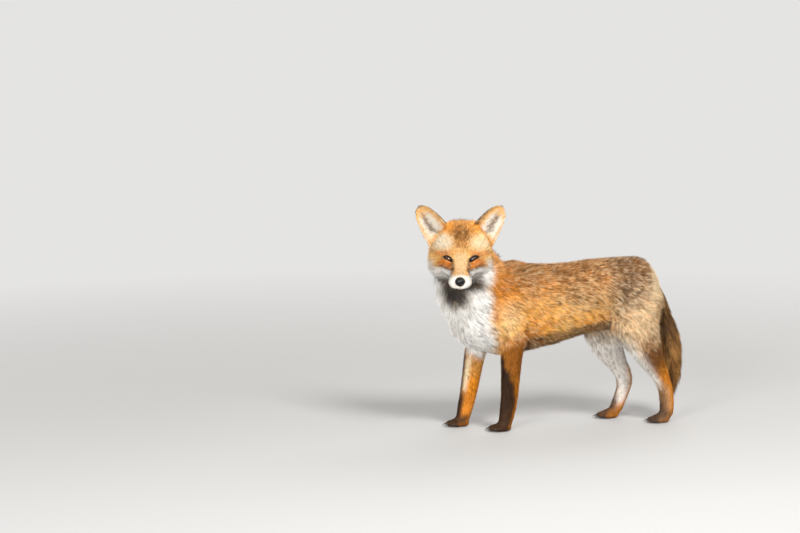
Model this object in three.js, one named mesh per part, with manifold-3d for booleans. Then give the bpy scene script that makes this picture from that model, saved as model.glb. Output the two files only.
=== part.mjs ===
// Red fox (Vulpes vulpes), life size, standing still with its head turned to its left.
// Millimetres. The body faces -Y, its left side is +X, +Z is up and the floor is at z = 0.
// Each form reaches to the tips of the coat. The whole body is joined from lofts and then parted by thin cuts.
import * as THREE from "three";
import { mergeVertices } from "three/addons/utils/BufferGeometryUtils.js";
import Module from "manifold-3d";

const wasm = await Module();
wasm.setup();

// Driving dimensions
const gap = 0.4; // width of the cuts between two parts
const room = 0.35; // clearance round eyes, nose and claws
const headTurn = 69; // degrees to its left
const headNod = 13; // degrees below level
const headPlace = { forward: 277, left: 68, up: 382 }; // the point midway between the eyes
const eyeRadius = 9;
const eyeHalfSpacing = 24.5;
const lidSlant = -26; // degrees, the inner corner lower
const lidTurn = 25; // degrees outwards
const earLength = 86;
const earWall = 4;
const toeLength = 24;
const clawLength = 11;

const coatColours = {
  russet: 0xb8682c,
  grizzled: 0x8a6a4c,
  white: 0xe8e0d6,
  black: 0x2a221e,
  cream: 0xd9b98a,
};

const sideOf = { left: 1, right: -1 };

// ---- Shapes ----

// A point of the body from how far forward, to its left and up it is.
function at(forward, left, up) {
  return new THREE.Vector3(left, -forward, up);
}

// A superellipse coordinate: fullness 2 is an ellipse, more is squarer.
function swell(value, fullness) {
  return Math.sign(value) * Math.abs(value) ** (2 / fullness);
}

// A closed skin over rings of points, each end closed by a fan to its middle.
function skinOver(rings) {
  const sides = rings[0].length;
  const points = rings.flat();
  const faces = [];
  for (let i = 0; i + 1 < rings.length; i++)
    for (let j = 0; j < sides; j++) {
      const k = (j + 1) % sides;
      const [a, b, c, d] = [i * sides + j, i * sides + k, (i + 1) * sides + k, (i + 1) * sides + j];
      faces.push(a, b, c, a, c, d);
    }
  for (const [first, flip] of [[0, true], [(rings.length - 1) * sides, false]]) {
    const middle = new THREE.Vector3();
    for (let j = 0; j < sides; j++) middle.addScaledVector(points[first + j], 1 / sides);
    points.push(middle);
    for (let j = 0; j < sides; j++) {
      const [a, b] = [first + j, first + ((j + 1) % sides)];
      faces.push(...(flip ? [b, a] : [a, b]), points.length - 1);
    }
  }
  return new THREE.BufferGeometry().setFromPoints(points).setIndex(faces);
}

// A body form along a smooth line of stations. Each station is wide to each side, reaches over its
// centre (up, or to the front of a leg) and under it. Level sections lie flat, as suits a leg.
function loft(stations, { rings, sides, fullness = 2, level = false }) {
  const centres = new THREE.CatmullRomCurve3(stations.map((s) => at(s.forward, s.left ?? 0, s.up)));
  const sizes = new THREE.CatmullRomCurve3(
    stations.map((s) => new THREE.Vector3(s.wide, s.over, s.under)),
  );
  const towardsLeft = new THREE.Vector3(1, 0, 0);
  const loops = [];
  for (let i = 0; i <= rings; i++) {
    const centre = centres.getPoint(i / rings);
    const size = sizes.getPoint(i / rings);
    const along = level ? new THREE.Vector3(0, 0, -1) : centres.getTangent(i / rings);
    const over = along.clone().cross(towardsLeft).normalize();
    const across = over.clone().cross(along);
    const loop = [];
    for (let j = 0; j < sides; j++) {
      const turn = (2 * Math.PI * (j + 0.5)) / sides;
      const reach = Math.sin(turn) > 0 ? size.y : size.z;
      loop.push(
        centre
          .clone()
          .addScaledVector(across, size.x * swell(Math.cos(turn), fullness))
          .addScaledVector(over, reach * swell(Math.sin(turn), fullness)),
      );
    }
    loops.push(loop);
  }
  return skinOver(loops);
}

function ball(centre, x, y, z, round = 12, high = 8) {
  return new THREE.SphereGeometry(1, round, high).scale(x, y, z).translate(...centre.toArray());
}

// ---- Solids ----

function solid(geometry) {
  const bare = geometry.clone();
  bare.deleteAttribute("normal");
  bare.deleteAttribute("uv");
  const merged = mergeVertices(bare, 1e-4);
  const triVerts = new Uint32Array(merged.index.array);
  const vertProperties = new Float32Array(merged.attributes.position.array);
  const made = new wasm.Manifold(new wasm.Mesh({ numProp: 3, vertProperties, triVerts }));
  if (made.volume() > 0) return made;
  for (let i = 0; i < triVerts.length; i += 3)
    [triVerts[i + 1], triVerts[i + 2]] = [triVerts[i + 2], triVerts[i + 1]];
  return new wasm.Manifold(new wasm.Mesh({ numProp: 3, vertProperties, triVerts }));
}

const joined = (solids) => solids.reduce((a, b) => a.add(b));

function geometryOf(made) {
  const { numProp, vertProperties, triVerts } = made.getMesh();
  const points = [];
  for (let i = 0; i < vertProperties.length; i += numProp)
    points.push(new THREE.Vector3(...vertProperties.subarray(i, i + 3)));
  const geometry = new THREE.BufferGeometry().setFromPoints(points).setIndex([...triVerts]);
  geometry.computeVertexNormals();
  return geometry;
}

// ---- Trunk, neck and tail ----

const trunkForm = loft(
  [
    { forward: -206, up: 286, wide: 12, over: 22, under: 12 },
    { forward: -198, up: 283, wide: 35, over: 47, under: 42 },
    { forward: -182, up: 276, wide: 52, over: 67, under: 64 },
    { forward: -150, up: 272, wide: 63, over: 85, under: 67 },
    { forward: -110, up: 272, wide: 66, over: 91, under: 67 },
    { forward: -60, up: 272, wide: 64, over: 89, under: 68 },
    { forward: 0, up: 270, wide: 66, over: 86, under: 80 },
    { forward: 60, up: 268, wide: 70, over: 87, under: 94 },
    { forward: 120, up: 266, wide: 73, over: 94, under: 101 },
    { forward: 165, up: 261, wide: 72, over: 101, under: 103 },
    { forward: 205, up: 252, wide: 66, over: 90, under: 92 },
    { forward: 246, up: 242, wide: 54, over: 64, under: 66 },
    { forward: 271, up: 238, wide: 32, over: 38, under: 38 },
    { forward: 279, up: 237, wide: 8, over: 10, under: 10 },
  ],
  { rings: 17, sides: 16, fullness: 2.2 },
);

const neckForm = loft(
  [
    { forward: 150, up: 248, wide: 50, over: 50, under: 56 },
    { forward: 178, up: 276, wide: 64, over: 69, under: 90 },
    { forward: 204, up: 306, wide: 70, over: 74, under: 103 },
    { forward: 226, up: 340, wide: 70, over: 70, under: 92 },
    { forward: 242, left: 2, up: 374, wide: 62, over: 60, under: 76 },
    { forward: 250, left: 6, up: 402, wide: 46, over: 44, under: 52 },
    { forward: 254, left: 8, up: 418, wide: 18, over: 16, under: 18 },
  ],
  { rings: 10, sides: 16, fullness: 2.1 },
);

const tailForm = loft(
  [
    { forward: -170, up: 306, wide: 13, over: 13, under: 13 },
    { forward: -188, up: 284, wide: 17, over: 17, under: 17 },
    { forward: -202, up: 254, wide: 20, over: 18, under: 20 },
    { forward: -214, up: 214, wide: 25, over: 18, under: 27 },
    { forward: -223, up: 170, wide: 28, over: 24, under: 32 },
    { forward: -227, up: 126, wide: 27, over: 25, under: 32 },
    { forward: -226, up: 84, wide: 20, over: 19, under: 24 },
    { forward: -222, up: 54, wide: 11, over: 11, under: 12 },
    { forward: -220, up: 36, wide: 3, over: 3, under: 3 },
  ],
  { rings: 12, sides: 10 },
);

// ---- Legs ----

const foreLegs = {
  left: {
    path: [
      [140, 44, 290],
      [146, 47, 236],
      [154, 47, 186],
      [157, 46, 130],
      [160, 45, 76],
      [165, 45, 36],
      [169, 45, 14],
    ],
    paw: [176, 45],
  },
  right: {
    path: [
      [152, -44, 290],
      [178, -47, 236],
      [200, -46, 186],
      [212, -44, 130],
      [222, -43, 76],
      [231, -43, 36],
      [235, -43, 14],
    ],
    paw: [242, -43],
  },
};
// Half sizes from the shoulder to the foot.
const foreLegSizes = [
  [24, 36, 40],
  [25, 34, 36],
  [22, 26, 30],
  [18, 22, 26],
  [15, 19, 24],
  [14, 16, 21],
  [14, 15, 17],
];

const hindLegs = {
  left: {
    path: [
      [-140, 34, 306],
      [-134, 44, 262],
      [-130, 51, 212],
      [-150, 51, 168],
      [-172, 49, 130],
      [-191, 48, 99],
      [-202, 48, 70],
      [-206, 48, 36],
      [-204, 48, 14],
    ],
    paw: [-191, 48],
  },
  right: {
    path: [
      [-136, -34, 306],
      [-116, -44, 262],
      [-98, -50, 212],
      [-102, -50, 168],
      [-118, -48, 130],
      [-138, -46, 99],
      [-142, -45, 70],
      [-129, -45, 36],
      [-121, -45, 14],
    ],
    paw: [-108, -45],
  },
};
const hindLegSizes = [
  [26, 44, 46],
  [30, 60, 56],
  [26, 58, 58],
  [22, 45, 42],
  [18, 33, 32],
  [14, 22, 25],
  [13, 16, 20],
  [13, 15, 19],
  [14, 16, 17],
];

function legForm(path, sizes, sides) {
  const stations = path.map(([forward, left, up], i) => {
    const [wide, over, under] = sizes[i];
    return { forward, left, up, wide, over, under };
  });
  return loft(stations, { rings: 1.5 * (path.length - 1), sides, fullness: 2.1, level: true });
}

// Toe places from the middle of the paw: how far forward, how far to the side, and the turn outwards.
const toes = [
  { forward: 8, side: -15, turn: 8 },
  { forward: 19, side: -5.5, turn: 2 },
  { forward: 19, side: 5.5, turn: -2 },
  { forward: 8, side: 15, turn: -8 },
];

function pawForms(forward, left) {
  const heel = ball(at(forward - 3, left, 8), 18, 21, 15, 9, 5);
  const forms = toes.map(({ forward: ahead, side, turn }) =>
    new THREE.SphereGeometry(1, 6, 5)
      .scale(6.6, toeLength / 2, 9)
      .rotateZ(THREE.MathUtils.degToRad(-turn))
      .translate(...at(forward + ahead, left + side, 7).toArray()),
  );
  return [heel, ...forms];
}

// A claw, curved down, from inside the toe's end to its point.
function clawForm(grow) {
  const stations = [0, 0.35, 0.7, 1].map((t) => ({
    forward: clawLength * t,
    up: 3 - 5 * t * t,
    wide: (2.1 - 1.7 * t) * grow,
    over: (2.3 - 1.8 * t) * grow,
    under: (2.3 - 1.8 * t) * grow,
  }));
  return loft(stations, { rings: 2, sides: 4 });
}

function placedClaw(paw, toe, grow) {
  const [forward, left] = paw;
  return clawForm(grow)
    .translate(...at(toeLength / 2 - 4.5, 0, 5).toArray())
    .rotateZ(THREE.MathUtils.degToRad(-toe.turn))
    .translate(...at(forward + toe.forward, left + toe.side, 0).toArray());
}

// ---- Head ----
// Made facing forward about the point midway between the eyes, then turned and nodded into place.

const headMatrix = new THREE.Matrix4().compose(
  at(headPlace.forward, headPlace.left, headPlace.up),
  new THREE.Quaternion().setFromEuler(
    new THREE.Euler(
      THREE.MathUtils.degToRad(headNod),
      0,
      THREE.MathUtils.degToRad(headTurn),
      "ZXY",
    ),
  ),
  new THREE.Vector3(1, 1, 1),
);

const skullForm = loft(
  [
    { forward: -106, up: -12, wide: 18, over: 40, under: 26 },
    { forward: -94, up: -16, wide: 44, over: 69, under: 46 },
    { forward: -76, up: -18, wide: 58, over: 78, under: 56 },
    { forward: -58, up: -20, wide: 64, over: 76, under: 56 },
    { forward: -38, up: -21, wide: 62, over: 67, under: 46 },
    { forward: -18, up: -20, wide: 55, over: 53, under: 39 },
    { forward: 0, up: -20, wide: 44, over: 38, under: 35 },
    { forward: 14, up: -23, wide: 34, over: 28, under: 31 },
    { forward: 27, up: -26, wide: 26, over: 22, under: 26 },
    { forward: 40, up: -28, wide: 23.5, over: 19, under: 22 },
    { forward: 54, up: -28.5, wide: 24, over: 16.5, under: 18.5 },
    { forward: 68, up: -29, wide: 24, over: 15, under: 16.5 },
    { forward: 77, up: -28, wide: 20, over: 12.5, under: 14 },
    { forward: 81, up: -27, wide: 12.5, over: 9, under: 9.5 },
  ],
  { rings: 19, sides: 18, fullness: 2.15 },
);

// The ear: a cupped leaf, open to the front. Its rings run round the back and return along the inside.
const earBase = { forward: -62, up: 23, side: { left: 40, right: 45 } };
const earTilt = { back: 4, turn: 12, outwards: { left: 32.5, right: 33.5 } }; // degrees
const earDepth = (t) => 19 * (1 - t) ** 0.75 + 2.2;
function earForm() {
  const steps = 9;
  const arc = 6;
  const widest = THREE.MathUtils.degToRad(104);
  const loops = [];
  for (let i = 0; i <= steps; i++) {
    const t = 1 - (1 - i / steps) ** 1.3; // closer together towards the round tip
    const wide = 33.5 * (1 - 0.12 * t) * Math.sqrt(Math.max(1 - t ** 3.2, 0.004));
    const deep = earDepth(t);
    const up = -16 + (earLength + 16) * t;
    const wall = Math.min(earWall, wide * 0.45) * (1 - 0.35 * t);
    const loop = [];
    for (const [inset, way] of [[0, 1], [wall, -1]])
      for (let j = 0; j <= arc; j++) {
        const turn = way * widest * ((2 * j) / arc - 1);
        loop.push(
          new THREE.Vector3(
            (wide - inset) * Math.sin(turn),
            (deep - inset * 0.9) * Math.cos(turn) + (inset ? inset * 0.1 : 0),
            up,
          ),
        );
      }
    loops.push(loop);
  }
  return skinOver(loops);
}

function earMatrix(name) {
  const { back, turn, outwards } = earTilt;
  const [x, y, z] = [-back, outwards[name], turn].map(THREE.MathUtils.degToRad);
  const side = sideOf[name];
  return new THREE.Matrix4()
    .makeTranslation(...at(earBase.forward, side * earBase.side[name], earBase.up).toArray())
    .multiply(new THREE.Matrix4().makeScale(side, 1, 1))
    .multiply(new THREE.Matrix4().makeRotationFromEuler(new THREE.Euler(x, y, z, "YXZ")));
}

const eyePlace = (side) => at(0, side * eyeHalfSpacing, 0);

function eyeForm(side, grow) {
  const r = eyeRadius + grow;
  return ball(eyePlace(side), r, r, r, 11, 7);
}

// The opening between the lids, which slants down to the muzzle.
function lidOpening(side) {
  return new THREE.SphereGeometry(1, 8, 6)
    .scale(10.5, 15, 4.8)
    .rotateY(side * THREE.MathUtils.degToRad(lidSlant))
    .rotateZ(side * THREE.MathUtils.degToRad(lidTurn))
    .translate(...eyePlace(side).add(at(11, side * 1.5, 0)).toArray());
}

// The nose pad, with a nostril sunk in each side of its front.
const nosePlace = { forward: 78, up: -23 };
function noseForm(grow) {
  const { forward, up } = nosePlace;
  return ball(at(forward, 0, up), 11 + grow, 8.5 + grow, 9.5 + grow, 10, 7);
}
function nostrilForm(side) {
  return ball(at(nosePlace.forward + 7.5, side * 5.4, nosePlace.up - 0.8), 2.3, 5, 2.6, 6, 5);
}

const inHead = (geometry) => geometry.applyMatrix4(headMatrix);

// ---- Cuts ----
// Each is a thin board: its middle, the way it faces, and how far it reaches each way.

function cut(middle, facing, wide, high, matrix = new THREE.Matrix4()) {
  const turn = new THREE.Quaternion().setFromUnitVectors(
    new THREE.Vector3(0, 0, 1),
    facing.clone().normalize(),
  );
  const board = new THREE.BoxGeometry(wide, high, gap).applyQuaternion(turn);
  return solid(board.translate(...middle.toArray()).applyMatrix4(matrix));
}

const cuts = [
  cut(at(214, 0, 306), at(0.55, 0, 0.83), 230, 260), // neck from chest
  cut(at(86, 0, 268), at(1, 0, 0), 190, 210), // chest from belly
  cut(at(-26, 0, 290), at(1, 0, 0), 170, 220), // belly from hips
  cut(at(-195.5, 0, 286), at(1, 0, 0), 100, 180), // tail root from hips
  cut(at(-225, 0, 150), at(0, 0, 1), 70, 70), // upper from lower tail
];
for (const [name, side] of Object.entries(sideOf)) {
  const fore = foreLegs[name].path;
  const hind = hindLegs[name].path;
  cuts.push(
    cut(at(fore[2][0], side * 47, 178), at(0, -side * 0.62, 0.78), 80, 90), // foreleg from chest
    cut(at(...fore[5]).setZ(56), at(-0.12, 0, 1), 44, 60), // forefoot
    cut(at(-115, side * 50, 226), at(0, -side * 0.62, 0.78), 108, 178), // thigh from hips
    cut(at(...hind[3]).setZ(160), at(0.5, 0, 0.86), 52, 120), // shank
    cut(at(hind[6][0], hind[6][1], 76), at(0.1, 0, 1), 44, 56), // hind foot
  );
}
const headCuts = [
  cut(at(-64, 0, -32), at(-0.43, 0, -0.9), 190, 176, headMatrix), // head from neck
  cut(at(53, 0, -38), at(0.06, 0, 1), 100, 78, headMatrix), // mouth line
  cut(at(14, 0, -44), at(0.85, 0, -0.53), 100, 34, headMatrix), // corner of the mouth to the throat
];
for (const side of Object.values(sideOf)) {
  const facing = at(0.1, side * 0.62, 0.78);
  headCuts.push(
    cut(at(earBase.forward - 4, side * 50, 42), facing, 84, 70, headMatrix), // ear
  );
}

// ---- The whole body, then its parts ----

const bodyForms = [trunkForm, neckForm, tailForm, inHead(skullForm)];
for (const name of Object.keys(sideOf)) {
  bodyForms.push(inHead(earForm().applyMatrix4(earMatrix(name))));
  bodyForms.push(legForm(foreLegs[name].path, foreLegSizes, 10));
  bodyForms.push(legForm(hindLegs[name].path, hindLegSizes, 12));
  bodyForms.push(...pawForms(...foreLegs[name].paw), ...pawForms(...hindLegs[name].paw));
}

const legSets = { fore: foreLegs, hind: hindLegs };
const hollows = [solid(inHead(noseForm(room)))];
const claws = {};
for (const [name, side] of Object.entries(sideOf)) {
  hollows.push(solid(inHead(eyeForm(side, room))), solid(inHead(lidOpening(side))));
  for (const [end, legs] of Object.entries(legSets))
    toes.forEach((toe, i) => {
      claws[`claw_${end}_${name}_${i + 1}`] = placedClaw(legs[name].paw, toe, 1);
      hollows.push(solid(placedClaw(legs[name].paw, toe, 1.25)));
    });
}
const belowFloor = solid(new THREE.BoxGeometry(400, 800, 60).translate(0, 0, -30));

const body = joined(bodyForms.map(solid)).subtract(joined([...cuts, ...headCuts, ...hollows, belowFloor]));

// A point inside each part, by which its solid is known.
const headPoint = (forward, left, up) => at(forward, left, up).applyMatrix4(headMatrix);
const places = {
  head: [headPoint(-20, 0, 10), "russet"],
  lower_jaw: [headPoint(40, 0, -46), "white"],
  neck: [at(236, 0, 345), "russet"],
  chest: [at(130, 0, 260), "russet"],
  belly: [at(20, 0, 260), "russet"],
  hips: [at(-120, 0, 300), "grizzled"],
  tail_upper: [at(-222, 0, 210), "grizzled"],
  tail_lower: [at(-224, 0, 110), "black"],
};
for (const [name, side] of Object.entries(sideOf)) {
  const fore = foreLegs[name].path;
  const hind = hindLegs[name].path;
  const inEarWall = new THREE.Vector3(0, earDepth(0.5) - earWall / 3, earLength * 0.42);
  places[`ear_${name}`] = [
    inEarWall.applyMatrix4(earMatrix(name)).applyMatrix4(headMatrix),
    "cream",
  ];
  places[`forearm_${name}`] = [at(...fore[3]), "russet"];
  places[`forefoot_${name}`] = [at(...fore[5]), "black"];
  places[`thigh_${name}`] = [at(...hind[2]).setZ(196), "grizzled"];
  places[`shank_${name}`] = [at(...hind[4]), "russet"];
  places[`hindfoot_${name}`] = [at(...hind[7]), "russet"];
}

const fox = new THREE.Group();

function addMesh(name, made, material) {
  const mesh = new THREE.Mesh(geometryOf(made), material);
  mesh.name = name;
  fox.add(mesh);
}

function coat(colour) {
  return new THREE.MeshStandardMaterial({ color: coatColours[colour], roughness: 0.9, metalness: 0 });
}

const lumps = body.decompose();
for (const [name, [place, colour]] of Object.entries(places)) {
  const probe = solid(ball(place, 1, 1, 1, 6, 4));
  const found = lumps.findIndex((lump) => lump.intersect(probe).volume() > 0);
  if (found < 0) throw new Error(`no part of the body holds the place of ${name}`);
  addMesh(name, lumps.splice(found, 1)[0], coat(colour));
}
for (const lump of lumps) {
  const { min, max } = lump.boundingBox();
  throw new Error(`a part has no name: ${min.map(Math.round)} to ${max.map(Math.round)}`);
}

const eyeAmber = new THREE.MeshStandardMaterial({ color: 0x8a5a1e, roughness: 0.08, metalness: 0 });
const noseBlack = new THREE.MeshStandardMaterial({ color: 0x14110f, roughness: 0.45, metalness: 0 });
const clawHorn = new THREE.MeshStandardMaterial({ color: 0x3a3029, roughness: 0.4, metalness: 0 });

for (const [name, side] of Object.entries(sideOf))
  addMesh(`eye_${name}`, solid(inHead(eyeForm(side, 0))), eyeAmber);
const nostrils = joined([1, -1].map((side) => solid(inHead(nostrilForm(side)))));
addMesh("nose", solid(inHead(noseForm(0))).subtract(nostrils), noseBlack);
for (const [name, form] of Object.entries(claws)) addMesh(name, solid(form), clawHorn);

// The origin is on the floor under the middle of the whole.
const box = new THREE.Box3().setFromObject(fox, true);
fox.position.set(-(box.min.x + box.max.x) / 2, -(box.min.y + box.max.y) / 2, 0);

export default fox;
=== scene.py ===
import math

import bmesh
import bpy
import numpy as np
from mathutils import Matrix, Vector
from mathutils.bvhtree import BVHTree
from mathutils.kdtree import KDTree


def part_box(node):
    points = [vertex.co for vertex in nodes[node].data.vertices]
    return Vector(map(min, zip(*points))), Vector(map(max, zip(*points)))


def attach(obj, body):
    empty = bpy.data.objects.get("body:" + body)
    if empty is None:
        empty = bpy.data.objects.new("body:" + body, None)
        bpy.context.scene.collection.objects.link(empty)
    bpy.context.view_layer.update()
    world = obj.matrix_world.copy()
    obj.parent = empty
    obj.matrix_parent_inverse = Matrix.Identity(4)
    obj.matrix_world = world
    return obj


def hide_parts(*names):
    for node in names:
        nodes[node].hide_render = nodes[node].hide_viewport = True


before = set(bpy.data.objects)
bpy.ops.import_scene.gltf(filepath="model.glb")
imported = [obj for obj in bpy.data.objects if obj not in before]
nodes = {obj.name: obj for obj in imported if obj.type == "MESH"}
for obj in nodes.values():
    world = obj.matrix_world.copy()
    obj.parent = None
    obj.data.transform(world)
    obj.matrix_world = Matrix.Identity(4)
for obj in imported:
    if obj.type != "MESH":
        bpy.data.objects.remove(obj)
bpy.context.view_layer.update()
dice = np.random.default_rng(41)
sides = {"left": 1, "right": -1}


def unit(v):
    v = np.asarray(v, float)
    return v / np.maximum(np.linalg.norm(v, axis=-1, keepdims=True), 1e-9)


def ease(low, high, x):  # 0 up to low, 1 from high on, smooth between them
    t = np.clip((x - low) / (high - low), 0, 1)
    return t * t * (3 - 2 * t)


def band(low, full, least, high, x):  # rises from low to full and falls again from least to high
    return ease(low, full, x) * ease(high, least, x)


def bell(*reach):  # 1 in the middle of a round hill, 0 well outside it
    return np.exp(-sum(r**2 for r in reach))


def mix(a, b, share):
    share = np.asarray(share)
    if share.ndim:
        share = share[:, None]
    return a * (1 - share) + b * share


def linear(*srgb):
    c = np.array(srgb, float)
    return np.where(c <= 0.04045, c / 12.92, ((c + 0.055) / 1.055) ** 2.4)


def centreOf(name):
    low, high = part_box(name)
    return np.array((low + high) / 2)


# the fox's own axes: the head's from its eyes and nose, the body's from the ground under its middle
eyeAt = {side: centreOf("eye_" + side) for side in sides}
eyeMid = (eyeAt["left"] + eyeAt["right"]) / 2
headSide = unit(eyeAt["left"] - eyeAt["right"])
toNose = centreOf("nose") - eyeMid
toNose = unit(toNose - headSide * (toNose @ headSide))
noseDrop = math.atan2(23, 78)  # the nose lies 78 mm in front of the eyes and 23 mm below them
headLift = np.cross(toNose, headSide)
headFront = math.cos(noseDrop) * toNose + math.sin(noseDrop) * headLift
headUp = np.cross(headFront, headSide)
bodyZero = eyeMid - np.array([0.068, -0.277, 0.382])  # the eyes lie 382 mm up, 277 forward, 68 to the left


def toBody(p):  # forward, left and up of the body, in mm
    q = (np.asarray(p) - bodyZero) * 1000
    return np.stack([-q[..., 1], q[..., 0], q[..., 2]], -1)


def fromBody(forward, left, up):
    return bodyZero + np.array([left, -forward, up]) / 1000


def bodyWay(forward, left, up):
    return unit([left, -forward, up])


def toHead(p):  # forward, left and up of the head, from between the eyes, in mm
    q = (np.asarray(p) - eyeMid) * 1000
    return np.stack([q @ headFront, q @ headSide, q @ headUp], -1)


def fromHead(forward, left, up):
    return eyeMid + (headFront * forward + headSide * left + headUp * up) / 1000


view = {
    "azimuth": 69.3, "height": 8.0, "distance": 9.0, "lens": 186.3,  # degrees, m, mm
    "middle": (30, 0, 250),  # the fox's middle, in the body's own mm
    "left": 0.3437, "up": 0.0941,  # how far off that the camera aims, in m
}
lampAim = (30, 0, 220)
lamps = {  # azimuth and height in degrees, distance and size in m, watts
    "key": (98, 42, 4.2, 1.3, 190),
    "fill": (51, 9, 4.4, 1.5, 200),
    "rim": (232, 34, 4.4, 2.8, 80),
}
studio = {"light": (1.0, 0.97, 0.93, 1), "strength": 0.5, "backdrop": (0.78, 0.775, 0.765, 1)}
floorMake = {
    "radius": 5.0, "edges": 96, "colour": (0.44, 0.435, 0.425, 1), "rough": 0.9, "fade": (0.9, 2.7),
}


def wayOut(azimuth, height):  # from the fox towards a camera or a lamp
    a, e = math.radians(azimuth), math.radians(height)
    return Vector((math.sin(a) * math.cos(e), -math.cos(a) * math.cos(e), math.sin(e)))


def newObject(name, data):
    made = bpy.data.objects.new(name, data)
    bpy.context.scene.collection.objects.link(made)
    return made


def setCamera():
    a = math.radians(view["azimuth"])
    back = wayOut(view["azimuth"], view["height"])
    right = Vector((math.cos(a), math.sin(a), 0))
    up = back.cross(right)
    pivot = Vector(fromBody(*view["middle"]))
    cam = newObject("camera", bpy.data.cameras.new("camera"))
    cam.data.lens = view["lens"]
    cam.data.sensor_width = 36
    cam.data.clip_end = 60
    cam.location = pivot + back * view["distance"]
    aim = pivot - right * view["left"] + up * view["up"]
    cam.rotation_euler = (aim - cam.location).to_track_quat("-Z", "Y").to_euler()
    bpy.context.scene.camera = cam


def addNode(tree, kind, **sockets):
    node = tree.nodes.new("ShaderNode" + kind)
    for socket, value in sockets.items():
        node.inputs[socket.replace("_", " ")].default_value = value
    return node


def wire(tree, *ends):  # each: a node, its outlet, the next node, its inlet
    for source, outlet, target, inlet in ends:
        tree.links.new(source.outputs[outlet], target.inputs[inlet])


def setLamps():
    middle = Vector(fromBody(*lampAim))
    for name, (azimuth, height, distance, size, watts) in lamps.items():
        way = wayOut(azimuth, height)
        lamp = newObject(name, bpy.data.lights.new(name, "AREA"))
        lamp.data.size = size
        lamp.data.energy = watts
        lamp.location = middle + way * distance
        lamp.rotation_euler = (-way).to_track_quat("-Z", "Y").to_euler()


def setWorld():  # lights the fox softly, and shows a pale backdrop behind it
    world = bpy.data.worlds.new("studio")
    bpy.context.scene.world = world
    world.use_nodes = True
    tree = world.node_tree
    tree.nodes.clear()
    out = addNode(tree, "OutputWorld")
    room = addNode(tree, "Background", Color=studio["light"], Strength=studio["strength"])
    seen = addNode(tree, "Background", Color=studio["backdrop"], Strength=1.0)
    path, shown, either = addNode(tree, "LightPath"), addNode(tree, "Math"), addNode(tree, "Math")
    shown.operation = either.operation = "MAXIMUM"
    pick = addNode(tree, "MixShader")
    wire(tree, (path, "Is Camera Ray", shown, 0), (path, "Is Glossy Ray", shown, 1))
    wire(tree, (shown, 0, either, 0), (path, "Is Transmission Ray", either, 1), (either, 0, pick, "Fac"))
    wire(tree, (room, 0, pick, 1), (seen, 0, pick, 2), (pick, 0, out, "Surface"))


def setFloor():
    bm = bmesh.new()
    bmesh.ops.create_circle(bm, cap_ends=True, radius=floorMake["radius"], segments=floorMake["edges"])
    mesh = bpy.data.meshes.new("floor")
    bm.to_mesh(mesh)
    bm.free()
    floor = newObject("floor", mesh)
    mat = bpy.data.materials.new("pale floor")
    mat.use_nodes = True
    tree = mat.node_tree
    top = tree.nodes["Principled BSDF"]
    top.inputs["Base Color"].default_value = floorMake["colour"]
    top.inputs["Roughness"].default_value = floorMake["rough"]
    place, reach = addNode(tree, "TexCoord"), addNode(tree, "VectorMath")
    reach.operation = "LENGTH"
    near, far = floorMake["fade"]
    fade = addNode(tree, "MapRange", From_Min=near, From_Max=far)
    clear, blend = addNode(tree, "BsdfTransparent"), addNode(tree, "MixShader")
    wire(tree, (place, "Object", reach, 0), (reach, "Value", fade, "Value"), (fade, 0, blend, "Fac"))
    out = tree.nodes["Material Output"]
    wire(tree, (top, 0, blend, 1), (clear, 0, blend, 2), (blend, 0, out, "Surface"))
    mesh.materials.append(mat)


bpy.context.scene.view_settings.view_transform = "Standard"
setCamera()
setLamps()
setWorld()
setFloor()
print("camera, lamps and floor are set")

fleshParts = ["head", "lower_jaw", "neck", "chest", "belly", "hips", "tail_upper", "tail_lower"]
for side in sides:
    for part in ("ear", "forearm", "forefoot", "thigh", "shank", "hindfoot"):
        fleshParts.append(part + "_" + side)

# in m, and how many times the skin is evened out
skinMake = {"voxel": 0.0024, "fatten": 0.00045, "balls": 0.0088, "smooth": 4}

# depth of the coat under the outline, hair length and width in mm, lift in degrees, tufts in a square cm,
# how far hairs stray in degrees, and the hair's own way (forward, left, up)
coat = {
    "head": (4, 9, 0.7, 24, 130, 9, (-1, 0, 0)),
    "lower_jaw": (2.0, 5, 0.6, 18, 180, 8, (-1, 0, 0)),
    "neck": (12, 26, 0.8, 36, 78, 16, (-0.7, 0, -0.7)),
    "chest": (6.5, 18, 0.75, 30, 71, 12, (-0.85, 0, -0.42)),
    "belly": (7, 18, 0.75, 29, 71, 13, (-1, 0, -0.2)),
    "hips": (5.5, 16, 0.78, 30, 68, 14, (-0.9, 0, -0.5)),
    "tail_upper": (8, 32, 1.0, 22, 84, 12, (-0.4, 0, -1)),
    "tail_lower": (9, 34, 1.0, 24, 88, 12, (-0.03, 0, -1)),
    "ear": (0.5, 5, 0.45, 14, 140, 10, (0, 0, 1)),
    "forearm": (3, 9, 0.6, 20, 92, 10, (-0.12, 0, -1)),
    "forefoot": (1.2, 4.5, 0.55, 16, 120, 8, (0.35, 0, -1)),
    "thigh": (6, 15, 0.75, 28, 74, 13, (-0.5, 0, -0.85)),
    "shank": (3.4, 10, 0.65, 22, 84, 11, (-0.45, 0, -0.9)),
    "hindfoot": (1.4, 5, 0.55, 16, 105, 8, (0.15, 0, -1)),
}
headCoat = {  # on the face, and what that becomes on muzzle, crown, cheeks and nape
    "depth": (3.0, 0.9, 3, 4.5, 7),
    "length": (7.5, 3.6, 13, 26, 17),
    "width": (0.5, 0.38, 0.6, 0.75, 0.8),
    "lift": (22, 17, 44, 46, 24),
    "thick": (270, 360, 160, 100, 88),
    "stray": (12, 8, 18, 17, 16),
}
shortHair = {"depth": 1.6, "length": 4.5}  # along the mouth
cheekEnd = {"length": 12, "lift": 18}  # behind the left cheek
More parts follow.
